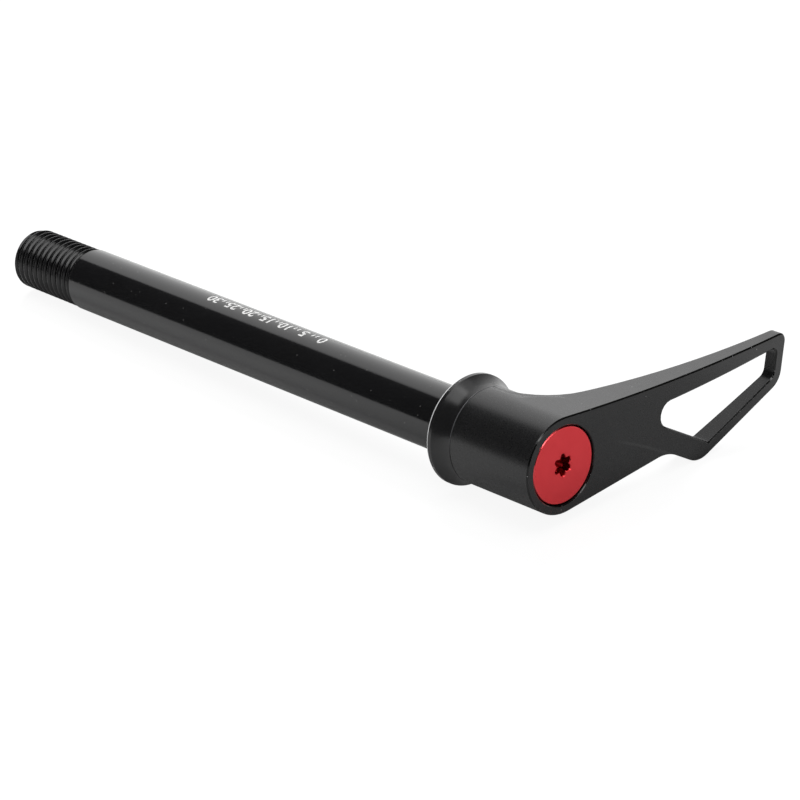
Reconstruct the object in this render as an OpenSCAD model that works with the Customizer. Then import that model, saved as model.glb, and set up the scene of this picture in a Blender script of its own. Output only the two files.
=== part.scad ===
// Screw-in wheel axle with a pull-and-turn lever.
// X runs along the axle: the thread is at -X and the lever at +X.
// The origin is on the axis, in the plane of the collar's seat face.
// The lever's arm points to +Y, and its flat front face looks to +X.

/* [Axle] */
// Outer diameter of the tube, the size of the wheel's bearings
axle_d = 12; // [10:0.5:13]
// Length from the collar's seat face to the threaded end
axle_len = 123; // [90:1:190]
// Diameter of the hole through the tube
axle_bore_d = 7; // [4:0.5:7.5]
// Length of full thread
thread_len = 17.3; // [10:0.1:25]
// How much smaller the thread's crests are than the tube, on the diameter
thread_drop = 0.2; // [0.1:0.1:0.6]
// Length of the run-out between the thread and the tube
thread_runout = 0.5; // [0.4:0.1:1.5]
// Chamfer at the thread's start
thread_chamfer = 0.4; // [0.2:0.1:1.2]
// Height of the shoulder that keeps the collar from sliding down the tube
shoulder_h = 0.5; // [0.3:0.1:0.8]

/* [Collar] */
// Diameter over the collar's rim
collar_d = 20.1; // [18.6:0.1:26]
// Length of the collar along the axle
collar_len = 4.5; // [4.2:0.05:7]
// Width of the rim, with the bare chamfer behind it
rim_w = 1.16; // [0.8:0.02:1.6]
// Length of the bare chamfer behind the rim
rim_chamfer_w = 0.36; // [0.2:0.02:0.5]
// Height of the bare chamfer behind the rim
rim_chamfer_h = 0.24; // [0.1:0.02:0.4]
// How far the flare is hollowed below a straight cone
flare_hollow = 0.24; // [0:0.02:0.4]
// Depth of the chamfer inside the seat face, which clears the tube's shoulder
seat_chamfer = 0.3; // [0.2:0.1:0.6]

/* [Ratchet core] */
// Height of the flange that presses the collar against the frame, above the journal
flange_h = 1.9; // [1.4:0.1:2.1]
// Thickness of the flange
flange_t = 2; // [1.4:0.1:2.6]
// Diameter of the shank that is pressed into the tube
spigot_d = 8; // [7.6:0.1:8.8]
// Length of the shank
spigot_len = 10; // [6:0.5:20]
// Number of teeth
tooth_count = 24; // [12:12:36]
// Diameter over the teeth
tooth_d = 13; // [12:0.1:13.6]
// Depth of the teeth
tooth_h = 0.6; // [0.4:0.05:0.8]
// How far the teeth stand apart once the lever is pulled right out
tooth_free = 1; // [0.6:0.1:1.5]
// Diameter of the nose that the lever slides on
nose_d = 9; // [8:0.25:9.5]

/* [Lever barrel] */
// Diameter of the barrel
barrel_d = 17.5; // [16.6:0.1:20]
// Length of the barrel
barrel_len = 18.75; // [17:0.05:24]
// Thickness of the web inside the barrel that the spring pushes on
web_t = 2; // [1.2:0.1:3]
// Chamfer around the mouth of the barrel's pocket
mouth_chamfer = 0.15; // [0.05:0.05:0.4]
// How far the lever pulls out against its spring
pull = 5; // [4:0.1:5.6]

/* [Lever arm from the front] */
// Distance from the axis to the arm's upper end corner
arm_reach = 56.2; // [46:0.2:75]
// Angle at which the upper edge falls away from the barrel
upper_fall = 6.25; // [2:0.05:9]
// Height of the arm's upper end corner above the axis
tip_top = 6.1; // [5:0.1:7]
// How far the lower end corner stands back from the upper one
tip_lean = 1.95; // [0:0.05:4]
// Depth of the arm's lower end corner below the axis
tip_bottom = 3.15; // [1:0.05:4]
// Distance from the axis to the heel
heel_reach = 32.9; // [29:0.1:36]
// Depth of the heel's corner below the axis, before it is rounded
heel_drop = 11.45; // [9.5:0.05:12]
// Distance from the axis to the notch between the barrel and the heel
notch_reach = 25.3; // [20:0.1:26]
// Depth of the notch below the axis
notch_drop = 6.7; // [5.6:0.1:7.6]
// Radius at the arm's upper end corner
tip_top_r = 1.5; // [0.6:0.1:2]
// Radius at the arm's lower end corner
tip_bottom_r = 4.1; // [2:0.1:5]
// Radius of the heel
heel_r = 4.8; // [2:0.1:6]
// Radius in the notch
notch_r = 7.1; // [2:0.1:9]

/* [Lever window] */
// Width of the thin rails below the window and at the arm's end
rail_w = 2.05; // [1.5:0.05:3]
// Width of the strut between the window and the heel
strut_w = 4; // [3:0.1:5]
// Width of the upper rail above the notch
upper_rail_root_w = 3.9; // [3:0.05:4.4]
// Width of the upper rail at the arm's end
upper_rail_end_w = 2.3; // [1.8:0.05:3]
// How far the window's upper edge bows down
window_bow = 0.25; // [0:0.01:0.4]
// Radius of the window's end next to the barrel
window_root_r = 2.5; // [1.5:0.1:3]
// Radius of the window's corner above the heel
window_heel_r = 0.4; // [0.2:0.1:1]
// Radius of the window's lower end corner
window_low_r = 2; // [1:0.1:3]
// Radius of the window's upper end corner
window_top_r = 1; // [0.5:0.1:2]

/* [Lever arm from above] */
// Thickness of the arm where the fillet at the barrel ends
arm_root_t = 7; // [6:0.1:9]
// Thickness of the arm at its end
arm_end_t = 2.3; // [1.8:0.05:4]
// Angle of the arm's back face next to the barrel
root_taper = 10.6; // [8:0.1:13]
// Angle of the arm's back face at its end
end_taper = 3; // [1:0.1:5]
// Distance from the axis to where the back fillet leaves the barrel's inner end
fillet_start = 1.9; // [1:0.1:4]

/* [Return spring] */
// Wire diameter
wire_d = 0.8; // [0.6:0.05:1]

/* [Cap bolt] */
// Diameter of the bolt's head
head_d = 14; // [13.4:0.05:14.4]
// Thickness of the head
head_t = 2.45; // [2:0.05:3]
// Chamfer around the head
head_chamfer = 0.32; // [0.1:0.02:0.6]
// How far the head lies below the barrel's front face
head_sink = 0.25; // [0:0.05:0.6]
// Diameter of the bolt's thread
bolt_d = 5; // [4:0.5:6]
// Length of the bolt's thread
bolt_len = 12; // [8:0.5:13]
// Chamfer at the ends of the thread, the nose and the pressed shank
end_chamfer = 0.5; // [0.2:0.1:0.8]
// Depth of the tapped hole beyond the bolt's end
tap_spare = 1.5; // [0.5:0.1:3]
// Size of the six-lobe socket across its lobes
socket_d = 4.05; // [3.8:0.05:4.5]
// Size of the six-lobe socket across the hollows between its lobes
socket_core_d = 2.9; // [2.6:0.02:3.4]
// Diameter of one lobe
lobe_d = 0.95; // [0.8:0.05:1.1]
// Depth of the socket
socket_depth = 2; // [1:0.1:2.4]

/* [Clearances] */
// Radial clearance of what turns or slides on a shaft
run_gap = 0.05; // [0.02:0.01:0.08]
// Clearance of a flat face that moves past another
face_gap = 0.1; // [0.05:0.01:0.2]
// Clearance of the lever's seat on the flange
seat_gap = 0.05; // [0.02:0.01:0.1]
// Radial clearance around the shoulder, the flange and the bolt's head
pocket_gap = 0.2; // [0.1:0.01:0.3]
// Radial clearance between the meshing teeth
mesh_gap = 0.1; // [0.05:0.01:0.15]
// Room between the end of the teeth and the lever's web
tooth_end_gap = 0.2; // [0.1:0.05:0.4]

/* [Hidden] */

// Smoothness of round faces, of rounded corners, of long bows and of the spring
ROUND = 96;
CORNER_STEPS = 8;
BOW_STEPS = 12;
COIL_STEPS = 24;
WIRE_SIDES = 10;
// Cuts run past the faces that they open
PAST = 1;

BLACK = [0.06, 0.06, 0.065];
STEEL = [0.55, 0.56, 0.58];
RED = [0.72, 0.05, 0.08];

// Radii that two pieces share
axle_r = axle_d / 2;
thread_r = axle_r - thread_drop / 2;
journal_r = axle_r - shoulder_h;
collar_r = collar_d / 2;
flange_r = journal_r + flange_h;
spigot_r = spigot_d / 2;
tooth_r = tooth_d / 2;
nose_r = nose_d / 2;
barrel_r = barrel_d / 2;
head_r = head_d / 2;
pocket_r = head_r + pocket_gap;
bolt_r = bolt_d / 2;
wire_r = wire_d / 2;
coil_r = (nose_r + pocket_r) / 2;

// Places along the axle, from the thread to the lever's front
thread_start_x = -axle_len;
thread_end_x = thread_start_x + thread_len;
shoulder_x = -face_gap;
flange_front_x = collar_len + seat_gap;
flange_back_x = flange_front_x - flange_t;
collar_web_x = flange_back_x - face_gap;
lever_back_x = flange_front_x + seat_gap;
lever_front_x = lever_back_x + barrel_len;
tooth_end_x = flange_front_x + pull - tooth_free;
web_back_x = tooth_end_x + tooth_end_gap;
web_front_x = web_back_x + web_t;
head_front_x = lever_front_x - head_sink;
head_back_x = head_front_x - head_t;
bolt_end_x = head_back_x - bolt_len;

// As many half turns as still let the lever pull right out
spring_room = head_back_x - web_front_x;
coil_turns = floor(2 * (spring_room - pull) / wire_d - 2) / 2;

// A straight piece of shaft or hole along X
module along_x(from, to, r) {
    translate([from, 0, 0])
        rotate([0, 90, 0])
            cylinder(h = to - from, r = r, $fn = ROUND);
}

// A turned piece, whose profile has points [radius, x]
module turned(profile) {
    rotate([0, 90, 0])
        rotate_extrude($fn = ROUND)
            polygon(profile);
}

// A flat outline with points [y, z], made solid from one x to another
module plate(from, to) {
    translate([from, 0, 0])
        rotate([90, 0, 90])
            linear_extrude(height = to - from)
                children();
}

// Where the line through a and b meets the line through c and d
function meet(a, b, c, d) = a + (b - a) * cross(c - a, d - c) / cross(b - a, d - c);

// The line through a and b, moved to its left by w, as two points
function beside(a, b, w) =
    let (left = w * [a[1] - b[1], b[0] - a[0]] / norm(b - a))
    [a + left, b + left];

// Points of an arc from start, turned by an angle about a centre
function arc(centre, start, turn) =
    [for (i = [0 : CORNER_STEPS])
        let (
            t = turn * i / CORNER_STEPS,
            arm = start - centre
        )
        centre + [arm[0] * cos(t) - arm[1] * sin(t), arm[0] * sin(t) + arm[1] * cos(t)]];

// Points of the fillet with radius r in the corner b between a and c
function fillet(a, b, c, r) =
    let (
        u = (a - b) / norm(a - b),
        v = (c - b) / norm(c - b),
        half = acos(u * v) / 2,
        centre = b + (u + v) / norm(u + v) * r / sin(half)
    )
    arc(centre, b + u * r / tan(half), (180 - 2 * half) * sign(cross(b - a, c - b)));

// Points inside the bow that leaves a towards b and reaches c from b
function bow_point(a, b, c, t) = a * (1 - t) * (1 - t) + b * 2 * t * (1 - t) + c * t * t;
function bow(a, b, c) = [for (i = [1 : BOW_STEPS - 1]) bow_point(a, b, c, i / BOW_STEPS)];
function last(points) = points[len(points) - 1];

// Corners of the arm as [y, z], before they are rounded
tip_corner = [arm_reach, tip_top];
low_corner = [arm_reach - tip_lean, -tip_bottom];
heel_corner = [heel_reach, -heel_drop];
notch_corner = [notch_reach, -notch_drop];

// The upper edge leaves the barrel as a tangent and bows towards the tip
upper_start = barrel_r * [sin(upper_fall), cos(upper_fall)];
upper_middle_y = (upper_start[0] + arm_reach) / 2;
upper_turn = meet(
    upper_start, upper_start + [cos(upper_fall), -sin(upper_fall)],
    [upper_middle_y, 0], [upper_middle_y, 1]
);
over_notch = bow_point(
    upper_start, upper_turn, tip_corner,
    (notch_reach - upper_start[0]) / (arm_reach - upper_start[0])
);

// The lower edge touches the barrel on its way to the notch
lower_angle = atan2(-notch_drop, notch_reach) - acos(barrel_r / norm(notch_corner));
lower_start = barrel_r * [cos(lower_angle), sin(lower_angle)];

// The arm seen from the front
function arm_outline() =
    let (tip = fillet(low_corner, tip_corner, upper_turn, tip_top_r))
    concat(
        [[0, 0], lower_start],
        fillet(lower_start, notch_corner, heel_corner, notch_r),
        fillet(notch_corner, heel_corner, low_corner, heel_r),
        fillet(heel_corner, low_corner, tip_corner, tip_bottom_r),
        tip,
        bow(last(tip), upper_turn, upper_start),
        [upper_start]
    );

// The window keeps its named distance to each edge of the arm
function window_outline() =
    let (
        strut = beside(notch_corner, heel_corner, strut_w),
        rail = beside(heel_corner, low_corner, rail_w),
        end = beside(low_corner, tip_corner, rail_w),
        edge = [over_notch - [0, upper_rail_root_w], tip_corner - [0, upper_rail_end_w]],
        root = meet(edge[0], edge[1], strut[0], strut[1]),
        heel = meet(strut[0], strut[1], rail[0], rail[1]),
        low = meet(rail[0], rail[1], end[0], end[1]),
        top = meet(end[0], end[1], edge[0], edge[1]),
        root_round = fillet(top, root, heel, window_root_r),
        top_round = fillet(low, top, root, window_top_r),
        sag = (last(top_round) + root_round[0]) / 2 - [0, 2 * window_bow]
    )
    concat(
        root_round,
        fillet(root, heel, low, window_heel_r),
        fillet(heel, low, top, window_low_r),
        top_round,
        bow(last(top_round), sag, root_round[0])
    );

// The arm seen from above as [x, y]: flat in front, with a fillet and a taper behind
function arm_profile() =
    let (
        back_r = (barrel_len - arm_root_t) / cos(root_taper),
        centre = [lever_back_x, fillet_start + back_r],
        fillet_points = arc(centre, [lever_back_x, fillet_start], 90 - root_taper),
        root = last(fillet_points),
        end = [lever_front_x - arm_end_t, arm_reach],
        turn = meet(
            root, root + [sin(root_taper), cos(root_taper)],
            end, end + [sin(end_taper), cos(end_taper)]
        )
    )
    concat(
        [[lever_back_x, 0]],
        fillet_points,
        bow(root, turn, end),
        [end, [lever_front_x, arm_reach], [lever_front_x, 0]]
    );

// Section of the toothed bar, or of its bore once a gap is added
module tooth_section(gap) {
    pitch = 360 / tooth_count;
    // Each tooth has a flat of a fifth of the pitch at its tip and at its root
    flat = pitch / 5;
    tip = tooth_r + gap;
    root = tip - tooth_h;
    polygon([
        for (i = [0 : tooth_count - 1])
            for (corner = [
                [tip, -flat / 2], [tip, flat / 2], [root, (pitch - flat) / 2], [root, (pitch + flat) / 2]
            ])
                corner[0] * [cos(i * pitch + corner[1]), sin(i * pitch + corner[1])]
    ]);
}

// Section of the six-lobe socket
module socket_section() {
    circle(r = socket_core_d / 2, $fn = ROUND);
    for (i = [0 : 5])
        rotate(i * 60)
            translate([(socket_d - lobe_d) / 2, 0])
                circle(r = lobe_d / 2, $fn = ROUND);
}

module axle_tube() {
    color(BLACK)
        difference() {
            turned([
                [axle_bore_d / 2, thread_start_x],
                [thread_r - thread_chamfer, thread_start_x],
                [thread_r, thread_start_x + thread_chamfer],
                [thread_r, thread_end_x],
                [axle_r, thread_end_x + thread_runout],
                [axle_r, shoulder_x],
                [journal_r, shoulder_x],
                [journal_r, flange_back_x],
                [axle_bore_d / 2, flange_back_x]
            ]);
            along_x(flange_back_x - spigot_len, flange_back_x + PAST, spigot_r);
        }
}

module ratchet_core() {
    color(STEEL)
        difference() {
            union() {
                turned([
                    [0, flange_back_x - spigot_len],
                    [spigot_r - end_chamfer, flange_back_x - spigot_len],
                    [spigot_r, flange_back_x - spigot_len + end_chamfer],
                    [spigot_r, flange_back_x],
                    [flange_r, flange_back_x],
                    [flange_r, flange_front_x],
                    [nose_r, flange_front_x],
                    [nose_r, head_back_x - end_chamfer],
                    [nose_r - end_chamfer, head_back_x],
                    [0, head_back_x]
                ]);
                plate(flange_front_x, tooth_end_x)
                    tooth_section(0);
            }
            along_x(bolt_end_x - tap_spare, head_back_x + PAST, bolt_r);
        }
}

module seat_collar() {
    rim = [collar_r, rim_w];
    neck = [barrel_r, collar_len];
    // The flare is hollowed square to the straight line from the rim to the neck
    inward = [rim[1] - neck[1], neck[0] - rim[0]] / norm(neck - rim);
    color(BLACK)
        turned(concat(
            [
                [axle_r + pocket_gap, 0],
                [collar_r - rim_chamfer_h, 0],
                [collar_r, rim_chamfer_w],
                rim
            ],
            bow(rim, (rim + neck) / 2 + 2 * flare_hollow * inward, neck),
            [
                neck,
                [flange_r + pocket_gap, collar_len],
                [flange_r + pocket_gap, collar_web_x],
                [journal_r + run_gap, collar_web_x],
                [journal_r + run_gap, seat_chamfer]
            ]
        ));
}

module lever() {
    color(BLACK)
        difference() {
            union() {
                along_x(lever_back_x, lever_front_x, barrel_r);
                intersection() {
                    plate(lever_back_x, lever_front_x)
                        polygon(arm_outline());
                    linear_extrude(height = 2 * (barrel_d + heel_drop), center = true)
                        polygon(arm_profile());
                }
            }
            plate(lever_back_x - PAST, lever_front_x + PAST)
                polygon(window_outline());
            // Pocket for the bolt's head and the spring
            turned([
                [0, web_front_x],
                [pocket_r, web_front_x],
                [pocket_r, lever_front_x - mouth_chamfer],
                [pocket_r + mouth_chamfer, lever_front_x],
                [pocket_r + mouth_chamfer, lever_front_x + PAST],
                [0, lever_front_x + PAST]
            ]);
            along_x(web_back_x - PAST, web_front_x + PAST, nose_r + run_gap);
            plate(lever_back_x - PAST, web_back_x)
                tooth_section(mesh_gap);
        }
}

module return_spring() {
    rings = coil_turns * COIL_STEPS;
    rise = spring_room - wire_d;
    // Half a turn lies flat against the web and half a turn against the bolt's head
    centres = [for (i = [0 : rings])
        web_front_x + wire_r + rise * min(1, max(0, (i / COIL_STEPS - 0.5) / (coil_turns - 1)))];
    points = [
        for (i = [0 : rings], k = [0 : WIRE_SIDES - 1])
            let (
                turn = 360 * i / COIL_STEPS,
                side = 360 * k / WIRE_SIDES,
                r = coil_r + wire_r * cos(side)
            )
            [centres[i] + wire_r * sin(side), r * cos(turn), r * sin(turn)]
    ];
    walls = [
        for (i = [0 : rings - 1], k = [0 : WIRE_SIDES - 1])
            let (
                near = i * WIRE_SIDES + k,
                next = i * WIRE_SIDES + (k + 1) % WIRE_SIDES
            )
            [near, next, next + WIRE_SIDES, near + WIRE_SIDES]
    ];
    start_cap = [for (k = [0 : WIRE_SIDES - 1]) WIRE_SIDES - 1 - k];
    end_cap = [for (k = [0 : WIRE_SIDES - 1]) rings * WIRE_SIDES + k];
    color(STEEL)
        polyhedron(points, concat([start_cap], walls, [end_cap]));
}

module cap_bolt() {
    color(RED)
        difference() {
            turned([
                [0, bolt_end_x],
                [bolt_r - end_chamfer, bolt_end_x],
                [bolt_r, bolt_end_x + end_chamfer],
                [bolt_r, head_back_x],
                [head_r, head_back_x],
                [head_r, head_front_x - head_chamfer],
                [head_r - head_chamfer, head_front_x],
                [0, head_front_x]
            ]);
            plate(head_front_x - socket_depth, head_front_x + PAST)
                socket_section();
        }
}

axle_tube();
ratchet_core();
seat_collar();
lever();
return_spring();
cap_bolt();
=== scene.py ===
# %% [markdown]
# # A screw-in wheel axle with a pull-and-turn lever
# The object is a thick hollow axle for a bicycle wheel. Its threaded end screws into one side of the
# frame, its flared collar bears on the other side, and a lever turns it. The lever can be pulled out
# against a spring and set down again at any of 24 angles.
#
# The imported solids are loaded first, because every piece here is built around them, in metres and in
# the same frame: +X runs along the axle towards the lever, and +Y along the lever's arm.

from math import atan2, cos, hypot, pi, radians, sin, sqrt

import bmesh
import bpy
from mathutils import Matrix, Vector


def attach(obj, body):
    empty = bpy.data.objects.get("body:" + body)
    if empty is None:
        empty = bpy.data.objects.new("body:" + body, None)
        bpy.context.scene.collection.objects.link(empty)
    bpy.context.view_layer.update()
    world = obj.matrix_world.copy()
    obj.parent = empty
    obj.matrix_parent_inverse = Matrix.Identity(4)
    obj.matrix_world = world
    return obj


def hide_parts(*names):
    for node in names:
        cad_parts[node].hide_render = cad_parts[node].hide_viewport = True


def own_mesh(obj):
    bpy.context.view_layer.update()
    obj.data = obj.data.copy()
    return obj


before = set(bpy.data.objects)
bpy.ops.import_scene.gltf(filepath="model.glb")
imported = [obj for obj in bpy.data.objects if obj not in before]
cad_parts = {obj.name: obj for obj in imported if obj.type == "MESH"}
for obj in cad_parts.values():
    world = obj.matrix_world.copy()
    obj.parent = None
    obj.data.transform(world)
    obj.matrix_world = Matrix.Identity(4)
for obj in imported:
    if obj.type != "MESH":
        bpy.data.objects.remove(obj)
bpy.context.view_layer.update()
MM = 0.001
ALONG = Vector((1, 0, 0))

# %% [markdown]
# ## The camera
# The picture was taken with a long lens from beside the lever, a little above it. The place, the
# point that it looks at and its small roll were found by fitting the outlines of the tube, the collar
# and the lever. They are plain values here, so that the view can be changed by hand.

# %% Set the camera
CAMERA_AT = Vector((403.89, -368.50, 252.39)) * MM
CAMERA_LOOKS_AT = Vector((-7.44, -8.74, 6.18)) * MM
CAMERA_ROLL = radians(-3.613)
LENS_MM = 156.9
SENSOR_MM = 36

camera_data = bpy.data.cameras.new("camera")
camera_data.lens = LENS_MM
camera_data.sensor_width = SENSOR_MM
camera_data.clip_start = 0.01
camera = bpy.data.objects.new("camera", camera_data)
bpy.context.scene.collection.objects.link(camera)
look = (CAMERA_LOOKS_AT - CAMERA_AT).to_track_quat("-Z", "Y").to_matrix().to_4x4()
camera.matrix_world = Matrix.Translation(CAMERA_AT) @ look @ Matrix.Rotation(CAMERA_ROLL, 4, "Z")
bpy.context.scene.camera = camera
bpy.context.scene.view_settings.view_transform = "Standard"
print("camera:", [round(v, 3) for v in camera.location], "lens", LENS_MM)

# %% [markdown]
# ## The studio
# A black tube is seen almost only by what it reflects, so the room matters as much as the paint. The
# real one lay on a white table with a bright panel behind it, and the side of the camera was dark.
# That dark side draws the long black stripe along the tube.
#
# The room starts as a white world. The camera and all mirrors see it at full strength. Matt surfaces
# get less than half of that, because the panels light them too.

# %% The white world
WORLD_ON_MATT = 0.45


def shader_node(tree, kind, inputs, **settings):
    """A shader node. Each input is set to a value, or linked where the value is another node's output."""
    made = tree.nodes.new("ShaderNode" + kind)
    for key, value in settings.items():
        setattr(made, key, value)
    for key, value in inputs.items():
        if isinstance(value, bpy.types.NodeSocket):
            tree.links.new(value, made.inputs[key])
        else:
            made.inputs[key].default_value = value
    return made


def calculated(tree, operation, *values):
    return shader_node(tree, "Math", dict(enumerate(values)), operation=operation).outputs["Value"]


world = bpy.data.worlds.new("white_room")
bpy.context.scene.world = world
world.use_nodes = True
tree = world.node_tree
background = tree.nodes["Background"]
rays = shader_node(tree, "LightPath", {}).outputs
seen = calculated(tree, "MAXIMUM", rays["Is Camera Ray"], rays["Is Glossy Ray"])
seen = calculated(tree, "MAXIMUM", seen, rays["Is Transmission Ray"])
level = shader_node(tree, "MapRange", {"Value": seen, "To Min": WORLD_ON_MATT, "To Max": 1.0})
tree.links.new(level.outputs["Result"], background.inputs["Strength"])
background.inputs["Color"].default_value = (1, 1, 1, 1)
print("world:", world.name, "gives matt surfaces", WORLD_ON_MATT)

# %% [markdown]
# The panels are area lights. Polished metal shows them as bright shapes, as it shows a photographer's
# soft boxes. One stands behind the axle and one hangs above it. A third stands beside the camera: it
# draws the pink arc on the red bolt and the fine lines on the thread. The key is the only one that no
# mirror sees, so it can be strong, and it gives the matt surfaces their light from above and behind.

# %% Soft panels
ACROSS = Vector((0, 1, 0))
BEHIND = Vector((-1.9, 1.06, 1.06))
ABOVE = Vector((0.12, -0.09, 1.15))
BESIDE = Vector((0.84, 0.08, 0.565))
KEY = Vector((-0.9, 0.9, 1.1))
WATTS_PER_RADIANCE = 4


def soft_panel(name, place, length, width, radiance, long_side=ALONG):
    """A flat light that faces the axle. It adds its radiance to the white room."""
    data = bpy.data.lights.new(name, "AREA")
    data.shape = "RECTANGLE"
    data.size = length
    data.size_y = width
    data.energy = radiance * WATTS_PER_RADIANCE * length * width
    obj = bpy.data.objects.new(name, data)
    bpy.context.scene.collection.objects.link(obj)
    facing = place.normalized()
    across = long_side.cross(facing).normalized()
    turned = Matrix((across.cross(facing), across, facing)).transposed().to_4x4()
    obj.matrix_world = Matrix.Translation(place) @ turned
    obj.visible_camera = False
    return obj


soft_panel("panel_behind", BEHIND, length=2.6, width=2.4, radiance=0.28)
soft_panel("panel_above", ABOVE, length=0.95, width=0.7, radiance=1.6)
beside = soft_panel("panel_beside", BESIDE, length=0.8, width=0.4, radiance=3.0, long_side=ACROSS)
beside.visible_diffuse = False
key = soft_panel("key", KEY, length=0.9, width=0.9, radiance=7.0)
key.visible_glossy = False
print("panels:", [light.name for light in bpy.data.lights])

# %% [markdown]
# The table is one flat sheet that touches the object where it rests: the collar's rim, the thread's
# end and the lever's heel. It shines a little towards the camera, so that it reads as white and only
# the object's soft shadow shows on it. What lies in front of the lever is mirrored by the lever's
# flat face, so there the table is darker for mirrors alone: a painted shade for the object's shadow
# on the table, which mostly fades out beyond the arm's tip.

# %% The table
TABLE_NORMAL = Vector((0.03373, 0.00179, 0.99943))
TABLE_DROP = 10.035 * MM
TABLE_HALF = 4
TABLE_PAINT = 0.8
TABLE_PAINT_TO_CAMERA = 0.13
TABLE_GLOW_TO_CAMERA = 0.91
TABLE_GLOW_TO_MIRRORS = 0.1
FRONT_PAINTED_SHADE = 0.53
FRONT_FROM = -0.06
FRONT_TO = 0.05
PAST_ARM_FROM = 0.06
PAST_ARM_TO = 0.07
PAST_ARM_SHARE = 0.15


def fade(tree, value, start, end, low=0.0, high=1.0):
    """Goes from low to high as the value goes from start to end, and stays level outside."""
    inputs = {"Value": value, "From Min": start, "From Max": end, "To Min": low, "To Max": high}
    return shader_node(tree, "MapRange", inputs).outputs["Result"]


def times(tree, first, second):
    return calculated(tree, "MULTIPLY", first, second)


def stage_material(name, level):
    """A matt grey without any shine."""
    material = bpy.data.materials.new(name)
    material.use_nodes = True
    shader = material.node_tree.nodes["Principled BSDF"]
    shader.inputs["Base Color"].default_value = (level, level, level, 1)
    shader.inputs["Roughness"].default_value = 1
    shader.inputs["Specular IOR Level"].default_value = 0
    return material, shader


def stage_object(name, bm, material):
    """An object of the studio."""
    mesh = bpy.data.meshes.new(name)
    bm.to_mesh(mesh)
    bm.free()
    mesh.materials.append(material)
    obj = bpy.data.objects.new(name, mesh)
    bpy.context.scene.collection.objects.link(obj)
    return obj


table_white, shader = stage_material("table_white", TABLE_PAINT)
shader.inputs["Emission Color"].default_value = (1, 1, 1, 1)
tree = table_white.node_tree
rays = shader_node(tree, "LightPath", {}).outputs
place = shader_node(tree, "SeparateXYZ", {0: shader_node(tree, "TexCoord", {}).outputs["Object"]}).outputs
# Painted shade: mirrors see the table darker in front of the lever, and much less so beyond the arm's tip.
in_front = fade(tree, place["X"], FRONT_FROM, FRONT_TO, 0.0, FRONT_PAINTED_SHADE)
beside_arm = fade(tree, place["Y"], PAST_ARM_FROM, PAST_ARM_TO, 1.0, PAST_ARM_SHARE)
painted_shade = times(tree, times(tree, in_front, beside_arm), rays["Is Glossy Ray"])
kept = calculated(tree, "SUBTRACT", 1.0, painted_shade)
paint = shader_node(tree, "Mix", {
    "Factor": rays["Is Camera Ray"], "A": times(tree, kept, TABLE_PAINT), "B": TABLE_PAINT_TO_CAMERA,
})
tree.links.new(paint.outputs["Result"], shader.inputs["Base Color"])
to_camera = times(tree, rays["Is Camera Ray"], TABLE_GLOW_TO_CAMERA)
to_mirrors = times(tree, rays["Is Glossy Ray"], TABLE_GLOW_TO_MIRRORS)
glow = calculated(tree, "MULTIPLY_ADD", to_mirrors, kept, to_camera)
tree.links.new(glow, shader.inputs["Emission Strength"])

bm = bmesh.new()
bmesh.ops.create_grid(bm, x_segments=1, y_segments=1, size=TABLE_HALF)
tilt = Vector((0, 0, 1)).rotation_difference(TABLE_NORMAL).to_matrix()
bmesh.ops.rotate(bm, verts=bm.verts, matrix=tilt)
bmesh.ops.translate(bm, verts=bm.verts, vec=TABLE_NORMAL * -TABLE_DROP)
stage_object("table", bm, table_white)
print("table:", TABLE_HALF * 2, "m wide,", round(TABLE_DROP / MM, 2), "mm below the axis")

# %% [markdown]
# Two curved cards darken what the black metal mirrors. One comes down from overhead on the camera's
# side, and is the black stripe along the tube and the barrel. The other stands around the lever's end
# and grows pale towards the thread, so that the lever's flat face and the collar stay black. Only
# mirror-like reflections see the cards: they cast no shadow and hide nothing.

# %% The dark cards
CARD_BLACK = 0.03
CARD_RADIUS = 1.3
CARD_ENDS = (-2.5, 2.5)
CARD_FROM = radians(88)
CARD_TO = radians(180)
SIDE_CARD_LOW = radians(8)
SIDE_CARD_HIGH = radians(56)
SIDE_CARD_LINES = 6
SIDE_CARD_FROM = radians(-25)
SIDE_CARD_TO = radians(118)
SIDE_CARD_BLACK_TO = 0.4
SIDE_CARD_WHITE_FROM = -0.6
CARD_STEPS = 24

card_black, _ = stage_material("card_black", CARD_BLACK)
card_fading, shader = stage_material("card_fading", CARD_BLACK)
shader.inputs["Emission Color"].default_value = (1, 1, 1, 1)
tree = card_fading.node_tree
place = shader_node(tree, "SeparateXYZ", {0: shader_node(tree, "TexCoord", {}).outputs["Object"]}).outputs
fading = fade(tree, place["X"], SIDE_CARD_BLACK_TO, SIDE_CARD_WHITE_FROM)
tree.links.new(fading, shader.inputs["Emission Strength"])


def dark_card(name, material, line, axis, angle):
    """A curved card: a line of points turned about an axis. Only mirror-like reflections see it."""
    bm = bmesh.new()
    verts = [bm.verts.new(point) for point in line]
    edges = [bm.edges.new(pair) for pair in zip(verts, verts[1:])]
    bmesh.ops.spin(bm, geom=verts + edges, cent=(0, 0, 0), axis=axis, angle=angle, steps=CARD_STEPS)
    card = stage_object(name, bm, material)
    card.visible_camera = False
    card.visible_diffuse = False
    card.visible_shadow = False
    card.visible_transmission = False
    print(name, len(card.data.polygons), "faces")


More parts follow.
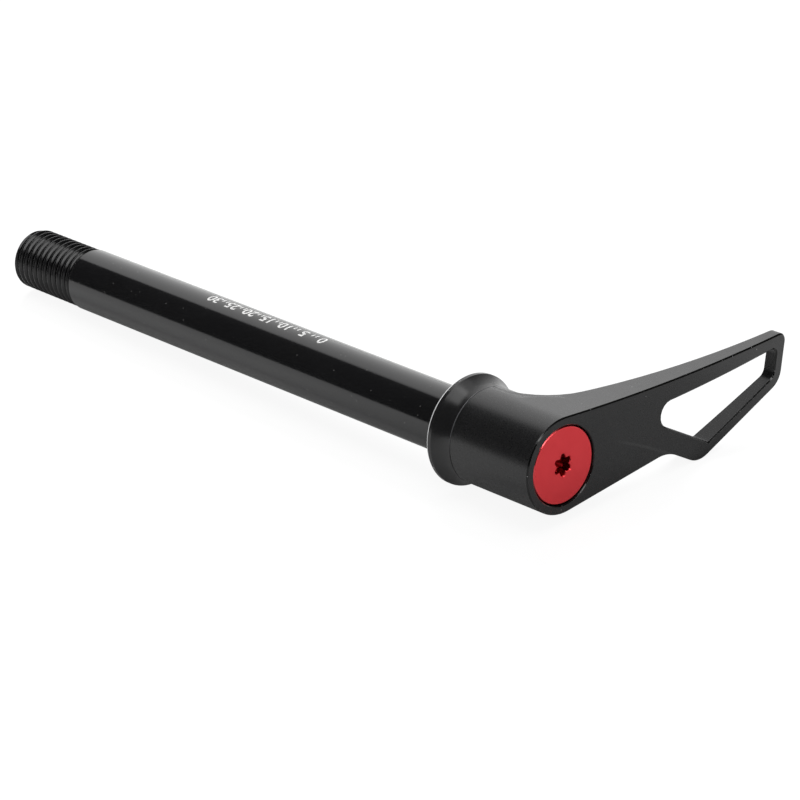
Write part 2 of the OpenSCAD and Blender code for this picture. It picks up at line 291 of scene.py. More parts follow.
dark_card("card_over_camera", card_black, [
    (x, CARD_RADIUS * cos(CARD_FROM), CARD_RADIUS * sin(CARD_FROM)) for x in CARD_ENDS
], axis=(1, 0, 0), angle=CARD_TO - CARD_FROM)
side_step = (SIDE_CARD_HIGH - SIDE_CARD_LOW) / SIDE_CARD_LINES
side_rises = [SIDE_CARD_LOW + side_step * i for i in range(SIDE_CARD_LINES + 1)]
dark_card("card_at_lever", card_fading, [
    (
        CARD_RADIUS * cos(rise) * cos(SIDE_CARD_FROM),
        CARD_RADIUS * cos(rise) * sin(SIDE_CARD_FROM),
        CARD_RADIUS * sin(rise),
    )
    for rise in side_rises
], axis=(0, 0, 1), angle=SIDE_CARD_TO - SIDE_CARD_FROM)

# %% [markdown]
# ## Helpers for turned pieces
# The tube, the thread and the collar come off a lathe, so each is drawn as half a section and spun
# round the axle. The edges get a fine bevel, as a maker would break them. Every finished piece rides
# on its body, has its material, and stands for the solids that it takes the place of.

# %% Helpers
SHARP = radians(30)


def section(bm, points, closed=True):
    """A line through points (x, radius) in millimetres, in the plane above the axis."""
    verts = [bm.verts.new((x * MM, 0, r * MM)) for x, r in points]
    pairs = list(zip(verts, verts[1:]))
    if closed:
        pairs.append((verts[-1], verts[0]))
    return verts + [bm.edges.new(pair) for pair in pairs]


def turn_round(bm, geometry, steps):
    bmesh.ops.spin(
        bm, geom=geometry, cent=(0, 0, 0), axis=ALONG, angle=2 * pi, steps=steps, use_merge=True
    )
    bmesh.ops.recalc_face_normals(bm, faces=bm.faces)


def piece(name, bm, body, material, slot, *nodes):
    """Makes the object, shades it, lets it ride on its body and stand for its CAD nodes."""
    mesh = bpy.data.meshes.new(name)
    bm.to_mesh(mesh)
    bm.free()
    mesh.materials.append(material)
    mesh.shade_smooth()
    mesh.set_sharp_from_angle(angle=SHARP)
    obj = bpy.data.objects.new(name, mesh)
    bpy.context.scene.collection.objects.link(obj)
    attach(obj, body)
    if nodes:
        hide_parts(*nodes)
    print(name, len(mesh.polygons), "faces")
    return obj


def break_edges(obj, width, segments=2):
    bevel = obj.modifiers.new("broken_edges", "BEVEL")
    bevel.width = width * MM
    bevel.segments = segments
    bevel.limit_method = "ANGLE"
    bevel.angle_limit = SHARP
    bevel.harden_normals = True
    return bevel


# %% [markdown]
# ## Finishes
# The black parts are anodised aluminium, and what tells them apart is how sharp they reflect: the
# tube is polished, the collar less so, and the lever is satin from tumbling. None of them is one even
# colour. Each finish is therefore built from noise on Object coordinates, which stay with the piece
# when it moves: clouds in the dye, a fine grain or turning marks in the bump, and bare metal where an
# edge has been knocked. The places of the edges are known, so wear is placed by the distance along
# the axle and from its axis, in millimetres.

# %% Helpers for finishes
def metal(name, colour, roughness, metallic=0.0):
    material = bpy.data.materials.new(name)
    material.use_nodes = True
    shader = material.node_tree.nodes["Principled BSDF"]
    shader.inputs["Base Color"].default_value = (*colour, 1)
    shader.inputs["Roughness"].default_value = roughness
    shader.inputs["Metallic"].default_value = metallic
    return material, material.node_tree, shader


def grain(tree, per_mm, stretch=(1, 1, 1), detail=2.0):
    """Noise with so many grains in a millimetre, drawn out along an axis where its stretch is small."""
    place = shader_node(tree, "TexCoord", {}).outputs["Object"]
    turned = shader_node(tree, "Mapping", {"Vector": place, "Scale": stretch}).outputs["Vector"]
    inputs = {"Vector": turned, "Scale": per_mm / MM, "Detail": detail}
    return shader_node(tree, "TexNoise", inputs).outputs["Fac"]


def blended(tree, factor, first, second):
    """A colour between two others."""
    mix = tree.nodes.new("ShaderNodeMix")
    mix.data_type = "RGBA"
    for key, value in (("Factor", factor), ("A", first), ("B", second)):
        if isinstance(value, bpy.types.NodeSocket):
            tree.links.new(value, mix.inputs[key])
        else:
            mix.inputs[key].default_value = value
    return mix.outputs["Result"]


def place_mm(tree):
    """Millimetres along the axle, along the arm, above the axis, and away from the axis."""
    place = shader_node(tree, "TexCoord", {}).outputs["Object"]
    scaled = shader_node(
        tree, "VectorMath", {0: place, 1: (1 / MM, 1 / MM, 1 / MM)}, operation="MULTIPLY"
    ).outputs["Vector"]
    split = shader_node(tree, "SeparateXYZ", {0: scaled}).outputs
    across = shader_node(tree, "VectorMath", {0: scaled, 1: (0, 1, 1)}, operation="MULTIPLY")
    radius = shader_node(tree, "VectorMath", {0: across.outputs["Vector"]}, operation="LENGTH")
    return split["X"], split["Y"], split["Z"], radius.outputs["Value"]


def rings(tree, radius, per_mm):
    """Turning marks on a flat face: noise that changes only with the radius."""
    inputs = {"W": radius, "Scale": per_mm, "Detail": 3.0}
    return shader_node(tree, "TexNoise", inputs, noise_dimensions="1D").outputs["Fac"]


def specks(tree, per_mm, size, share):
    """Round dots of a size in millimetres. Each cell of the pattern has room for one, and a share has it."""
    place = shader_node(tree, "TexCoord", {}).outputs["Object"]
    cells = shader_node(tree, "TexVoronoi", {"Vector": place, "Scale": per_mm / MM})
    dot = fade(tree, cells.outputs["Distance"], size * per_mm * 0.6, size * per_mm, 1.0, 0.0)
    chance = shader_node(tree, "SeparateColor", {"Color": cells.outputs["Color"]}).outputs["Red"]
    return times(tree, dot, fade(tree, chance, share, share + 0.01, 1.0, 0.0))


def roughen(tree, shader, height, depth_mm):
    """Uses a height from 0 to 1 as relief of a depth in millimetres."""
    bump = shader_node(tree, "Bump", {"Height": height, "Strength": 1.0, "Distance": depth_mm * MM})
    tree.links.new(bump.outputs["Normal"], shader.inputs["Normal"])


# %% [markdown]
# The tube is ground, polished and then dyed a deep black. The dye is a clear layer, so it mirrors like
# lacquer. Grinding leaves marks around it that are too fine to see one by one: they are noise drawn out
# around the axle. A few specks of dust make the black look like a surface.

# %% The tube's polished black
FINE_DUST = (0.17, 0.17, 0.165, 1)
tube_black, tree, shader = metal("tube_black", (0.008, 0.008, 0.0085), 0.12)
clouds = grain(tree, 0.15, detail=4.0)
black = blended(tree, clouds, (0.006, 0.006, 0.0065, 1), (0.011, 0.011, 0.0115, 1))
dust = specks(tree, per_mm=0.7, size=0.11, share=0.6)
tree.links.new(blended(tree, dust, black, FINE_DUST), shader.inputs["Base Color"])
marks = grain(tree, 7.0, stretch=(1, 0.03, 0.03), detail=3.0)
tree.links.new(fade(tree, marks, 0.3, 0.7, 0.1, 0.15), shader.inputs["Roughness"])
roughen(tree, shader, marks, 0.0005)
print(tube_black.name, len(tree.nodes), "nodes")

# %% [markdown]
# The thread is cut after polishing, so it is duller than the tube. The distance from the axis tells crest
# from groove: the groove is given a blacker colour and hardly shines.

# %% The thread's dull black
THREAD_CREST_R = 5.87
GROOVE_BELOW_CREST = 0.75
FLANK_BELOW_CREST = 0.35
thread_black, tree, shader = metal("thread_black", (0.009, 0.009, 0.0095), 0.3)
*_, radius = place_mm(tree)
clouds = grain(tree, 0.6, detail=3.0)
crest = blended(tree, clouds, (0.005, 0.005, 0.0055, 1), (0.008, 0.008, 0.0085, 1))
on_crest = fade(tree, radius, THREAD_CREST_R - GROOVE_BELOW_CREST, THREAD_CREST_R - FLANK_BELOW_CREST)
tree.links.new(blended(tree, on_crest, (0.003, 0.003, 0.003, 1), crest), shader.inputs["Base Color"])
tree.links.new(fade(tree, on_crest, 0.0, 1.0, 0.1, 0.4), shader.inputs["Specular IOR Level"])
cut_marks = grain(tree, 3.0, detail=3.0)
tree.links.new(fade(tree, cut_marks, 0.3, 0.7, 0.15, 0.22), shader.inputs["Roughness"])
roughen(tree, shader, cut_marks, 0.001)
print(thread_black.name, len(tree.nodes), "nodes")

# %% [markdown]
# The lever is tumbled with ceramic chips until it is satin, and dyed black. Its front edge is a machined
# chamfer, smoother than the rest, with a few knocks down to bare metal, and its colour there is painted
# nearly black: a painted dark reflection. The walls of the window shine less: a painted shade inside
# the window. Low on the front runs a faint crease, shown as a painted highlight: a slightly paler line
# along a shallow curve.

# %% The lever's satin black
EDGE_FROM = (23.11, 23.16)
EDGE_TO = (23.3, 23.34)
CREASE_BOW = 0.006
CREASE_SLOPE = 0.311
CREASE_AT = 4.898
CREASE_HALF_W = (0.12, 0.4)
CREASE_FROM = (12.0, 15.0)
CREASE_TO = (24.0, 27.5)
WINDOW_FLOOR_SLOPE = 0.433
WINDOW_FLOOR = -24.5
WINDOW_TOP = 4.5
WINDOW_FROM = (34.5, 36.0)
WINDOW_TO = 52.5
WALL_TO = (23.0, 23.1)
BARE = (0.42, 0.42, 0.43, 1)
DUST = (0.3, 0.3, 0.29, 1)
lever_black, tree, shader = metal("lever_black", (0.011, 0.011, 0.0115), 0.3)
along, reach, height, _ = place_mm(tree)
clouds = grain(tree, 0.2, detail=4.0)
black = blended(tree, clouds, (0.007, 0.007, 0.0075, 1), (0.012, 0.012, 0.0125, 1))
dust = specks(tree, per_mm=0.35, size=0.12, share=0.4)

# A painted highlight: the crease is a paler line along a shallow curve low on the front face.
above_crease = calculated(tree, "SUBTRACT", height, CREASE_AT)
slope = calculated(tree, "MULTIPLY_ADD", reach, CREASE_BOW, CREASE_SLOPE)
from_crease = calculated(tree, "ABSOLUTE", calculated(tree, "MULTIPLY_ADD", slope, reach, above_crease))
crease_ends = times(tree, fade(tree, reach, *CREASE_FROM), fade(tree, reach, *CREASE_TO, 1.0, 0.0))
crease_highlight = times(tree, fade(tree, from_crease, *CREASE_HALF_W, 1.0, 0.0), crease_ends)
at_face = fade(tree, along, *EDGE_TO)
with_crease_highlight = blended(tree, times(tree, crease_highlight, at_face), black, (0.025, 0.025, 0.0255, 1))

past_start = fade(tree, along, *EDGE_FROM)
front_edge = times(tree, past_start, fade(tree, along, *EDGE_TO, 1.0, 0.0))
knocks = times(tree, front_edge, fade(tree, grain(tree, 3.2, detail=2.0), 0.7, 0.74))
# Painted dark reflection: the front edge's colour is made nearly black, except where it is knocked bare.
edge_painted_dark = blended(tree, front_edge, blended(tree, dust, with_crease_highlight, DUST), (0.003, 0.003, 0.003, 1))
tree.links.new(blended(tree, knocks, edge_painted_dark, BARE), shader.inputs["Base Color"])

# Painted shade: the walls of the window get less shine than the rest of the lever.
over_floor = calculated(tree, "MULTIPLY_ADD", reach, -WINDOW_FLOOR_SLOPE, height)
in_height = times(
    tree, fade(tree, over_floor, WINDOW_FLOOR, WINDOW_FLOOR + 0.1),
    fade(tree, height, WINDOW_TOP, WINDOW_TOP + 0.1, 1.0, 0.0),
)
in_reach = times(
    tree, fade(tree, reach, *WINDOW_FROM), fade(tree, reach, WINDOW_TO, WINDOW_TO + 0.1, 1.0, 0.0)
)
window_wall_shade = times(tree, times(tree, in_height, in_reach), fade(tree, along, *WALL_TO, 1.0, 0.0))
tree.links.new(fade(tree, window_wall_shade, 0.0, 1.0, 0.5, 0.3), shader.inputs["Specular IOR Level"])
satin = grain(tree, 5.0, detail=3.0)
satin_rough = fade(tree, satin, 0.3, 0.7, 0.25, 0.35)
smoother = fade(tree, front_edge, 0.0, 1.0, 1.0, 0.45)
tree.links.new(times(tree, satin_rough, smoother), shader.inputs["Roughness"])
roughen(tree, shader, satin, 0.004)
print(lever_black.name, len(tree.nodes), "nodes")

# %% [markdown]
# The collar is turned and dyed like the tube, with turning marks around it. It rubs on the frame, so the
# chamfer behind its rim is bare and shines as a thin bright line, and the rim has knocks beside it. Its
# front edge meets the barrel, and on the upper side a thin grey line is painted there: a painted highlight.

# %% The collar's black, bare at its back edges, with a painted highlight on its front edge
BARE_BRIGHT = (0.75, 0.75, 0.76, 1)
SEAM_HIGHLIGHT_GREY = (0.2, 0.2, 0.21, 1)
BARE_EDGE_TO = (0.38, 0.44)
BARE_EDGE_R = (9.6, 9.7)
RIM_KNOCKS_TO = (0.75, 0.9)
RIM_KNOCKS_R = (9.95, 10.0)
SEAM_FROM = (4.42, 4.46)
SEAM_RISES = (-1.0, 5.0)
collar_black, tree, shader = metal("collar_black", (0.011, 0.011, 0.0115), 0.17)
along, _, height, radius = place_mm(tree)
clouds = grain(tree, 0.3, detail=4.0)
black = blended(tree, clouds, (0.008, 0.008, 0.0085, 1), (0.014, 0.014, 0.0145, 1))
seat_edge = times(tree, fade(tree, along, *BARE_EDGE_TO, 1.0, 0.0), fade(tree, radius, *BARE_EDGE_R))
rim_knocks = times(
    tree, fade(tree, grain(tree, 0.8, detail=3.0), 0.64, 0.67),
    times(tree, fade(tree, along, *RIM_KNOCKS_TO, 1.0, 0.0), fade(tree, radius, *RIM_KNOCKS_R)),
)
# Painted highlight: a thin grey line on the upper side of the collar's front edge.
seam_highlight = times(tree, fade(tree, along, *SEAM_FROM), fade(tree, height, *SEAM_RISES, 0.0, 0.8))
bare_once = blended(tree, seat_edge, black, BARE_BRIGHT)
bare_twice = blended(tree, rim_knocks, bare_once, BARE)
tree.links.new(blended(tree, seam_highlight, bare_twice, SEAM_HIGHLIGHT_GREY), shader.inputs["Base Color"])
marks = grain(tree, 6.0, stretch=(1, 0.03, 0.03), detail=3.0)
tree.links.new(fade(tree, marks, 0.3, 0.7, 0.19, 0.27), shader.inputs["Roughness"])
roughen(tree, shader, marks, 0.001)
print(collar_black.name, len(tree.nodes), "nodes")

# %% [markdown]
# The bolt is dyed red. A red dye lets the metal shine through, so this finish is a metal with a red
# colour, and its turning marks are rings on the flat face. The chamfer at its edge is smoother, because a
# tool cut it last, and is painted paler in patches: a painted pink sheen. The socket is pressed deep into
# the head, and its walls and floor are painted dark red: a painted shade.

# %% The bolt's red
PAINTED_SHEEN_RED = (0.95, 0.3, 0.3, 1)
SOCKET_SHADE_RED = (0.25, 0.004, 0.006, 1)
EDGE_R = (6.78, 6.82)
MOUTH_R = (2.1, 2.2)
MOUTH_FROM = (22.7, 23.05)
bolt_red, tree, shader = metal("bolt_red", (0.88, 0.068, 0.08), 0.3, 1.0)
along, _, _, radius = place_mm(tree)
clouds = grain(tree, 0.4, detail=4.0)
red = blended(tree, clouds, (0.93, 0.066, 0.078, 1), (1.0, 0.084, 0.098, 1))
at_edge = fade(tree, radius, *EDGE_R)
# Painted sheen: the chamfer at the head's edge is paler red in patches.
rim_sheen = times(tree, at_edge, fade(tree, grain(tree, 0.7, detail=3.0), 0.4, 0.62, 0.05, 0.25))
at_face = blended(tree, rim_sheen, red, PAINTED_SHEEN_RED)
# Painted shade: the socket's walls and floor are dark red.
socket_shade = times(tree, fade(tree, radius, *MOUTH_R, 1.0, 0.0), fade(tree, along, *MOUTH_FROM, 0.93, 0.0))
tree.links.new(blended(tree, socket_shade, at_face, SOCKET_SHADE_RED), shader.inputs["Base Color"])
marks = rings(tree, radius, 2.2)
brushed = fade(tree, marks, 0.3, 0.7, 0.3, 0.38)
tree.links.new(times(tree, brushed, fade(tree, at_edge, 0.0, 1.0, 1.0, 0.5)), shader.inputs["Roughness"])
roughen(tree, shader, marks, 0.0015)
print(bolt_red.name, len(tree.nodes), "nodes")

# %% [markdown]
# Three finishes are left. The ink is matt white and thin in places. The core is plain machined steel with
# marks around the axle. The spring's wire is drawn through a die and oiled, so its marks run along it,
# and its steel is a little darker.

# %% The printed scale's ink, the core's steel and the spring's wire
ink_white, tree, shader = metal("ink_white", (0.8, 0.8, 0.79), 0.5)
thin = grain(tree, 2.5, detail=3.0)
ink = blended(tree, fade(tree, thin, 0.35, 0.6), (0.5, 0.5, 0.5, 1), (0.82, 0.82, 0.81, 1))
tree.links.new(ink, shader.inputs["Base Color"])
tree.links.new(fade(tree, thin, 0.3, 0.7, 0.6, 0.4), shader.inputs["Roughness"])
roughen(tree, shader, thin, 0.002)

core_steel, tree, shader = metal("core_steel", (0.5, 0.5, 0.51), 0.3, 1.0)
marks = grain(tree, 4.0, stretch=(1, 0.03, 0.03), detail=3.0)
steel = blended(tree, grain(tree, 0.3, detail=4.0), (0.42, 0.42, 0.43, 1), (0.56, 0.56, 0.57, 1))
tree.links.new(steel, shader.inputs["Base Color"])
tree.links.new(fade(tree, marks, 0.3, 0.7, 0.24, 0.4), shader.inputs["Roughness"])
roughen(tree, shader, marks, 0.003)

spring_steel, tree, shader = metal("spring_steel", (0.42, 0.42, 0.43), 0.25, 1.0)
drawn = grain(tree, 8.0, stretch=(1, 0.2, 0.2), detail=3.0)
wire_colour = blended(tree, grain(tree, 0.5, detail=4.0), (0.34, 0.33, 0.32, 1), (0.48, 0.48, 0.49, 1))
tree.links.new(wire_colour, shader.inputs["Base Color"])
tree.links.new(fade(tree, drawn, 0.3, 0.7, 0.2, 0.32), shader.inputs["Roughness"])
roughen(tree, shader, drawn, 0.002)
print("finishes:", len(bpy.data.materials))

# %% [markdown]
# ## The tube
# The hollow shaft passes through the hub and takes the wheel's load in bending. It is drawn and
# centreless-ground aluminium, bored through to save weight, and polished before it is anodised. A step
# near its front end is the journal that the collar turns on. Half its section, hole and step
# included, is spun once, so that the rings close without a seam.

# %% The tube
AXLE_R = 6.0
BORE_R = 3.5
CORE_HOLE_R = 4.0
JOURNAL_R = 5.5
TUBE_START = -105.2
CORE_HOLE_END = -7.45
SHOULDER = -0.1
TUBE_FRONT = 2.55
TURNED_STEPS = 192
bm = bmesh.new()
turn_round(bm, section(bm, [
    (TUBE_START, BORE_R), (TUBE_START, AXLE_R), (SHOULDER, AXLE_R), (SHOULDER, JOURNAL_R),
    (TUBE_FRONT, JOURNAL_R), (TUBE_FRONT, CORE_HOLE_R), (CORE_HOLE_END, CORE_HOLE_R),
    (CORE_HOLE_END, BORE_R),
]), TURNED_STEPS)
tube = piece("tube_shaft", bm, "axle", tube_black, "tube_black", "axle_tube")
break_edges(tube, 0.12)

# %% [markdown]
# ## The thread
# Nearly twelve turns of M12 x 1.5 screw into the frame and pull it together. The real thread is rolled or
# cut, its start is chamfered so that it finds its nut, and it runs out in a shallow groove before the
# shaft. Here a line of crests is spun with a rise of one pitch in a turn: each end of the line lands on
# its neighbour, so the helix closes. The sheet is cut flat at both ends, and points that stand above
# the chamfer or the run-out are pressed down to it.
#
# The flanks lean 30 degrees, and the crests are narrow. That matters for the look: the flanks face the
# panel beside the camera, so they draw the fine bright lines on the upper side.

# %% The thread
PITCH = 1.5
THREAD_START = -123.0
THREAD_END = TUBE_START + 0.1
CREST_ARC_R = 0.2
CREST_HALF_W = 0.17
THREAD_DEPTH = 0.9
CREST_AT = -121.52
POINTS_PER_PITCH = 24
THREAD_STEPS = 96
CHAMFER = 0.5
RUNOUT_R = 5.25
RUNOUT_FROM = -106.0
RUNOUT_SLOPE = 1.2


def depth_below_crest(u):
    """A narrow round crest, then straight flanks down to the groove halfway to the next crest."""
    near = min(abs(u), CREST_HALF_W)
    flank_slope = CREST_HALF_W / sqrt(CREST_ARC_R**2 - CREST_HALF_W**2)
    on_arc = CREST_ARC_R - sqrt(CREST_ARC_R**2 - near**2)
    return min(on_arc + (abs(u) - near) * flank_slope, THREAD_DEPTH)


profile = []
for crest in range(-3, int((THREAD_END - THREAD_START) / PITCH) + 2):
    for i in range(POINTS_PER_PITCH):
        u = (i / POINTS_PER_PITCH - 0.5) * PITCH
        profile.append((CREST_AT + crest * PITCH + u, THREAD_CREST_R - depth_below_crest(u)))
bm = bmesh.new()
bmesh.ops.spin(
    bm, geom=section(bm, profile, closed=False), cent=(0, 0, 0), axis=ALONG,
    dvec=ALONG * PITCH * MM / THREAD_STEPS, angle=2 * pi, steps=THREAD_STEPS,
)
bmesh.ops.remove_doubles(bm, verts=bm.verts, dist=0.001 * MM)
for cut, keep in ((THREAD_START, "clear_inner"), (THREAD_END, "clear_outer")):
    bmesh.ops.bisect_plane(
        bm, geom=[*bm.verts, *bm.edges, *bm.faces], plane_co=ALONG * cut * MM, plane_no=ALONG, **{keep: True}
    )
for v in bm.verts:
    x = v.co.x / MM
    r = hypot(v.co.y, v.co.z) / MM
    under_chamfer = THREAD_CREST_R - CHAMFER + max(0, x - THREAD_START)
    under_runout = THREAD_CREST_R - max(0, x - RUNOUT_FROM) * RUNOUT_SLOPE
    limit = max(min(under_chamfer, under_runout), RUNOUT_R)
    if r > limit:
        v.co.yz = v.co.yz * (limit / r)
rim_edges = [e for e in bm.edges if e.is_boundary]
ring = bmesh.ops.extrude_edge_only(bm, edges=rim_edges)["geom"]
for v in (g for g in ring if isinstance(g, bmesh.types.BMVert)):
    v.co.yz = v.co.yz * (BORE_R * MM / hypot(v.co.y, v.co.z))
bmesh.ops.bridge_loops(bm, edges=[e for e in bm.edges if e.is_boundary])
bmesh.ops.recalc_face_normals(bm, faces=bm.faces)
piece("tube_thread", bm, "axle", thread_black, "tube_black")

# %% [markdown]
# ## The printed scale
# A plain scale in millimetres is printed on the shaft. The ink is a film, about a hundredth of a
# millimetre thick. The digits are made flat, cut into narrow strips and then rolled onto the tube, so
# that they follow its curve instead of cutting into it.

# %% The printed scale
MARK_ZERO = -37.6
MARK_LENGTH = 30
MARK_FOOT = radians(79)
DIGIT_H = 2.3
DIGIT_SHARE_OF_FONT = 0.73
STROKE_GROWS = 0.05
TICK_W = 0.3
TICK_H = 1.0
INK = 0.012
INK_STRIP = 0.2


def add_number(bm, number, at):
    font = bpy.data.curves.new("number", "FONT")
    font.body = str(number)
    font.size = DIGIT_H / DIGIT_SHARE_OF_FONT
    font.align_x = "CENTER"
    font.extrude = INK
    font.offset = STROKE_GROWS
    font.resolution_u = 6
    text = bpy.data.objects.new("number", font)
    mesh = bpy.data.meshes.new_from_object(text)
    mesh.transform(Matrix.Translation((at, 0, 0)))
    bm.from_mesh(mesh)
    bpy.data.meshes.remove(mesh)
    bpy.data.objects.remove(text)


bm = bmesh.new()
for mark in range(MARK_LENGTH + 1):
    if mark % 5 == 0:
        add_number(bm, mark, mark)
    elif mark % 5 in (2, 3):
        bmesh.ops.create_cube(bm, size=1, matrix=(
            Matrix.Translation((mark, TICK_H / 2, 0)) @ Matrix.Diagonal((TICK_W, TICK_H, 2 * INK, 1))
        ))
strips = int(DIGIT_H / INK_STRIP) + 1
for i in range(1, strips):
    bmesh.ops.bisect_plane(
        bm, geom=[*bm.verts, *bm.edges, *bm.faces], plane_co=(0, i * INK_STRIP, 0), plane_no=(0, 1, 0)
    )
for v in bm.verts:
    angle = MARK_FOOT + v.co.y / AXLE_R
    r = (AXLE_R + v.co.z) * MM
    v.co = ((MARK_ZERO - v.co.x) * MM, r * cos(angle), r * sin(angle))
bmesh.ops.remove_doubles(bm, verts=bm.verts, dist=0.001 * MM)
bmesh.ops.recalc_face_normals(bm, faces=bm.faces)
piece("printed_scale", bm, "axle", ink_white, "tube_black")

# %% [markdown]
# ## The collar
# The collar spreads the clamping force over the outer face of the frame, and stays still while the axle
# turns in it. It is turned from bar: a flat seat, a rim with a small chamfer behind it, and a flare that
# sweeps down to the barrel's diameter. Its front is hollow, so that the core's teeth have room. The flare
# is a curve with three control points, and half the section is spun as one closed ring.

# %% The collar
COLLAR_R = 10.05
COLLAR_LEN = 4.5
RIM_W = 1.16
BACK_CHAMFER_W = 0.36
BACK_CHAMFER_H = 0.24
BARREL_R = 8.75
FLARE_HOLLOW = 0.24
FLARE_STEPS = 16
RECESS_R = 7.6
RECESS_FROM = 2.45
COLLAR_HOLE_R = 5.55
SEAT_CHAMFER = 0.3
SEAT_HOLE_R = 6.2
flare_start = Vector((RIM_W, COLLAR_R))
flare_end = Vector((COLLAR_LEN, BARREL_R))
flare_middle = (flare_start + flare_end) / 2
flare_turn = flare_middle - (flare_end - flare_start).orthogonal().normalized() * 2 * FLARE_HOLLOW
flare = [
    tuple(flare_start * (1 - t) ** 2 + flare_turn * 2 * t * (1 - t) + flare_end * t * t)
    for t in (i / FLARE_STEPS for i in range(FLARE_STEPS + 1))
]
bm = bmesh.new()
turn_round(bm, section(bm, [
    (0, SEAT_HOLE_R), (0, COLLAR_R - BACK_CHAMFER_H), (BACK_CHAMFER_W, COLLAR_R), *flare,
    (COLLAR_LEN, RECESS_R), (RECESS_FROM, RECESS_R), (RECESS_FROM, COLLAR_HOLE_R),
    (SEAT_CHAMFER, COLLAR_HOLE_R),
]), TURNED_STEPS)
collar = piece("collar", bm, "collar", collar_black, "collar_black", "seat_collar")
break_edges(collar, 0.05)

# %% [markdown]
# ## The lever
# The lever is one forging that is machined afterwards: a round barrel with a pocket for the bolt's head
# and the spring, and a flat arm with a window that saves weight and gives the fingers a hold. Below the
# arm is a pointed heel. Its outline has many arcs, so the CAD solid's own mesh is copied and merged
# here instead of being drawn again. Long faces are divided into strips, and every outer edge gets a flat
# chamfer, widest at the front, where the hand meets it. The crisp dark line along the front edges is
# this chamfer: it mirrors the dark side of the room.
# The finish also paints that edge nearly black: a painted dark reflection.

# %% The lever
LEVER_BACK = 4.6
LEVER_FRONT = 23.35
ARM_FROM = 7.5
ARM_TO = 56
STRIP = 1.4
INNER_R = 7.7
EDGE_WIDTH = 0.25
BACK_EDGE_SHARE = 0.25


def copy_of(node):
    """The node's own mesh as a bmesh, its loose triangles merged and its flat faces joined."""
    bm = bmesh.new()
    bm.from_mesh(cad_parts[node].data)
    bmesh.ops.remove_doubles(bm, verts=bm.verts, dist=0.002 * MM)
    bmesh.ops.dissolve_limit(
        bm, angle_limit=radians(0.05), verts=bm.verts, edges=bm.edges, delimit={"NORMAL"}
    )
    return bm


def cut_into_strips(bm, normal, start, end, step):
    """Divides long faces, so that the shading follows their slight curve."""
    for i in range(int((end - start) / step) + 1):
        at = normal * (start + i * step) * MM
        bmesh.ops.bisect_plane(bm, geom=[*bm.verts, *bm.edges, *bm.faces], plane_co=at, plane_no=normal)


bm = copy_of("lever")
cut_into_strips(bm, ACROSS, ARM_FROM, ARM_TO, STRIP)
cut_into_strips(bm, ALONG, LEVER_BACK + STRIP, LEVER_FRONT - STRIP, STRIP * 2)
weight = bm.edges.layers.float.new("bevel_weight_edge")
for edge in bm.edges:
    outside = all(hypot(v.co.y, v.co.z) > INNER_R * MM for v in edge.verts)
    if outside and edge.is_manifold and edge.calc_face_angle() > SHARP:
        at_front = all(v.co.x > (LEVER_FRONT - 0.1) * MM for v in edge.verts)
        edge[weight] = 1 if at_front else BACK_EDGE_SHARE
lever = piece("lever_body", bm, "lever", lever_black, "lever_black", "lever")
chamfer = break_edges(lever, EDGE_WIDTH, segments=1)
chamfer.limit_method = "WEIGHT"
chamfer.use_clamp_overlap = False
chamfer.harden_normals = False
chamfer.mark_sharp = True

# %% [markdown]
# ## The cap bolt
# This red bolt is screwed into the core's nose and holds the spring in. The real one is turned from bar,
# its six-lobe socket is pressed in, and then it is dyed red. Here half its section is spun, with a small
# chamfer at the head's edge and at the socket's mouth, and the wall of the socket is then pushed in and
# out six times around.

# %% The cap bolt
HEAD_FRONT = 23.1
HEAD_BACK = 20.65
HEAD_R = 7.03
HEAD_EDGE = 0.22
FACE_RINGS = (2.6, 3.6)
SHANK_R = 2.5
SHANK_END = 8.65
SHANK_CHAMFER = 0.5
SOCKET_FLOOR = 21.1
SOCKET_CONE = 0.3
SOCKET_R = 1.74
SOCKET_FLOOR_R = SOCKET_R * 0.9
SOCKET_BREAK = 0.18
LOBES = 6
LOBE_HEIGHT = 0.175
LOBE_SQUARENESS = 0.12
LOBE_TURN = radians(26)
BOLT_STEPS = 180
bm = bmesh.new()
turn_round(bm, section(bm, [
    (SOCKET_FLOOR - SOCKET_CONE, 0), (SOCKET_FLOOR, SOCKET_FLOOR_R), (SOCKET_FLOOR + 0.15, SOCKET_R),
    (HEAD_FRONT - SOCKET_BREAK, SOCKET_R), (HEAD_FRONT, SOCKET_R + SOCKET_BREAK),
    *((HEAD_FRONT, ring_r) for ring_r in FACE_RINGS),
    (HEAD_FRONT, HEAD_R - HEAD_EDGE), (HEAD_FRONT - HEAD_EDGE, HEAD_R), (HEAD_BACK, HEAD_R),
    (HEAD_BACK, SHANK_R), (SHANK_END + SHANK_CHAMFER, SHANK_R), (SHANK_END, SHANK_R - SHANK_CHAMFER),
    (SHANK_END, 0),
], closed=False), BOLT_STEPS)
for v in bm.verts:
    r = hypot(v.co.y, v.co.z) / MM
    if 0 < r < SOCKET_R + 0.5 and v.co.x > (SOCKET_FLOOR - 0.1) * MM:
        turn = LOBES * (atan2(v.co.z, v.co.y) - LOBE_TURN)
        v.co.yz = v.co.yz * (1 + LOBE_HEIGHT * (cos(turn) - LOBE_SQUARENESS * cos(2 * turn)))
bmesh.ops.remove_doubles(bm, verts=bm.verts, dist=0.001 * MM)
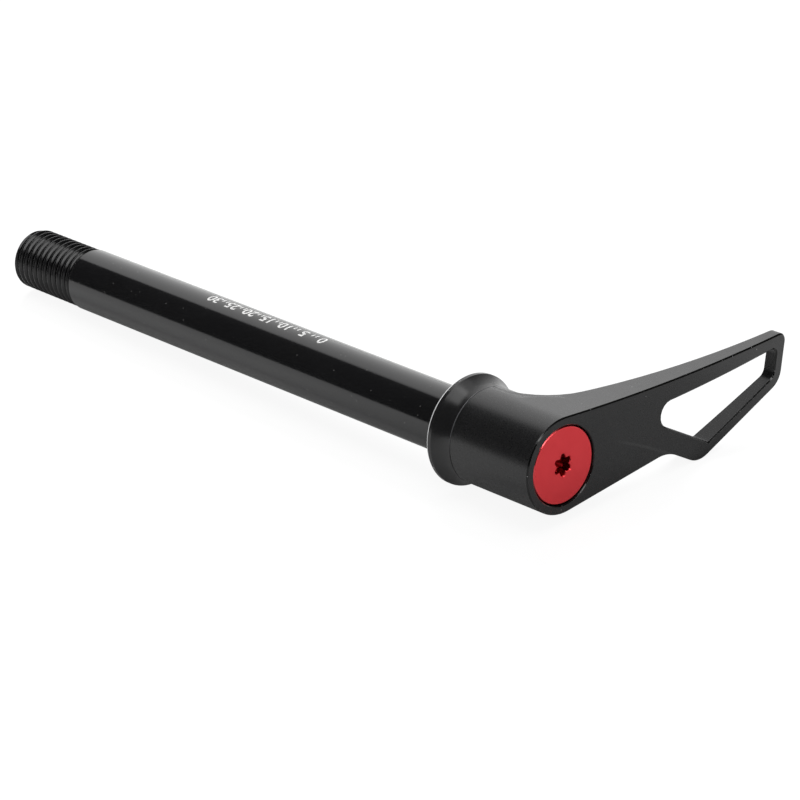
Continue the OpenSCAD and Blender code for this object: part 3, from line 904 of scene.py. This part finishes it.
bmesh.ops.recalc_face_normals(bm, faces=bm.faces)
bolt = piece("red_bolt", bm, "axle", bolt_red, "bolt_red", "cap_bolt")
break_edges(bolt, 0.05)

# %% [markdown]
# ## The core
# The steel core can't be seen at rest. It is pressed into the tube's end, its flange holds the
# collar, and its 24 teeth turn the tube with the lever. Steel is used because the teeth are small. The
# CAD solid already has every tooth, so it only gets its material.

# %% The core
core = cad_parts["ratchet_core"]
core.data.materials.clear()
core.data.materials.append(core_steel)
print(core.name, len(core.data.polygons), "faces")

# %% [markdown]
# ## The spring
# The spring sits between the bolt's head and the web inside the barrel, and pulls the lever back into
# the teeth. It is wound from hard wire, with its end turns closed so that it stands square. A circle of
# wire is spun in three runs: half a closed turn, four rising turns and half a closed turn. It shortens
# along the axle when the lever is pulled, with its front end held against the bolt's head.

# %% The spring
WIRE_R = 0.4
WIRE_SIDES = 16
COIL_R = 5.85
RISING_TURNS = 4
CLOSED_TURN = 0.5
SPRING_FROM = 10.75
SPRING_TO = 20.65
COIL_STEPS = 48
rise_per_step = (SPRING_TO - SPRING_FROM - 2 * WIRE_R) / (RISING_TURNS * COIL_STEPS)
bm = bmesh.new()
wire = bmesh.ops.create_circle(
    bm, segments=WIRE_SIDES, radius=WIRE_R * MM,
    matrix=Matrix.Translation(((SPRING_FROM + WIRE_R) * MM, COIL_R * MM, 0)),
)["verts"]
section_geometry = wire + list({e for v in wire for e in v.link_edges})
for turns, rise in ((CLOSED_TURN, 0), (RISING_TURNS, rise_per_step), (CLOSED_TURN, 0)):
    section_geometry = bmesh.ops.spin(
        bm, geom=section_geometry, cent=(0, 0, 0), axis=ALONG, dvec=ALONG * rise * MM,
        angle=2 * pi * turns, steps=int(COIL_STEPS * turns),
    )["geom_last"]
bmesh.ops.holes_fill(bm, edges=[e for e in bm.edges if e.is_boundary], sides=0)
bmesh.ops.recalc_face_normals(bm, faces=bm.faces)
spring = piece("coil_spring", bm, "spring", spring_steel, "spring_steel", "return_spring")
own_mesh(spring)
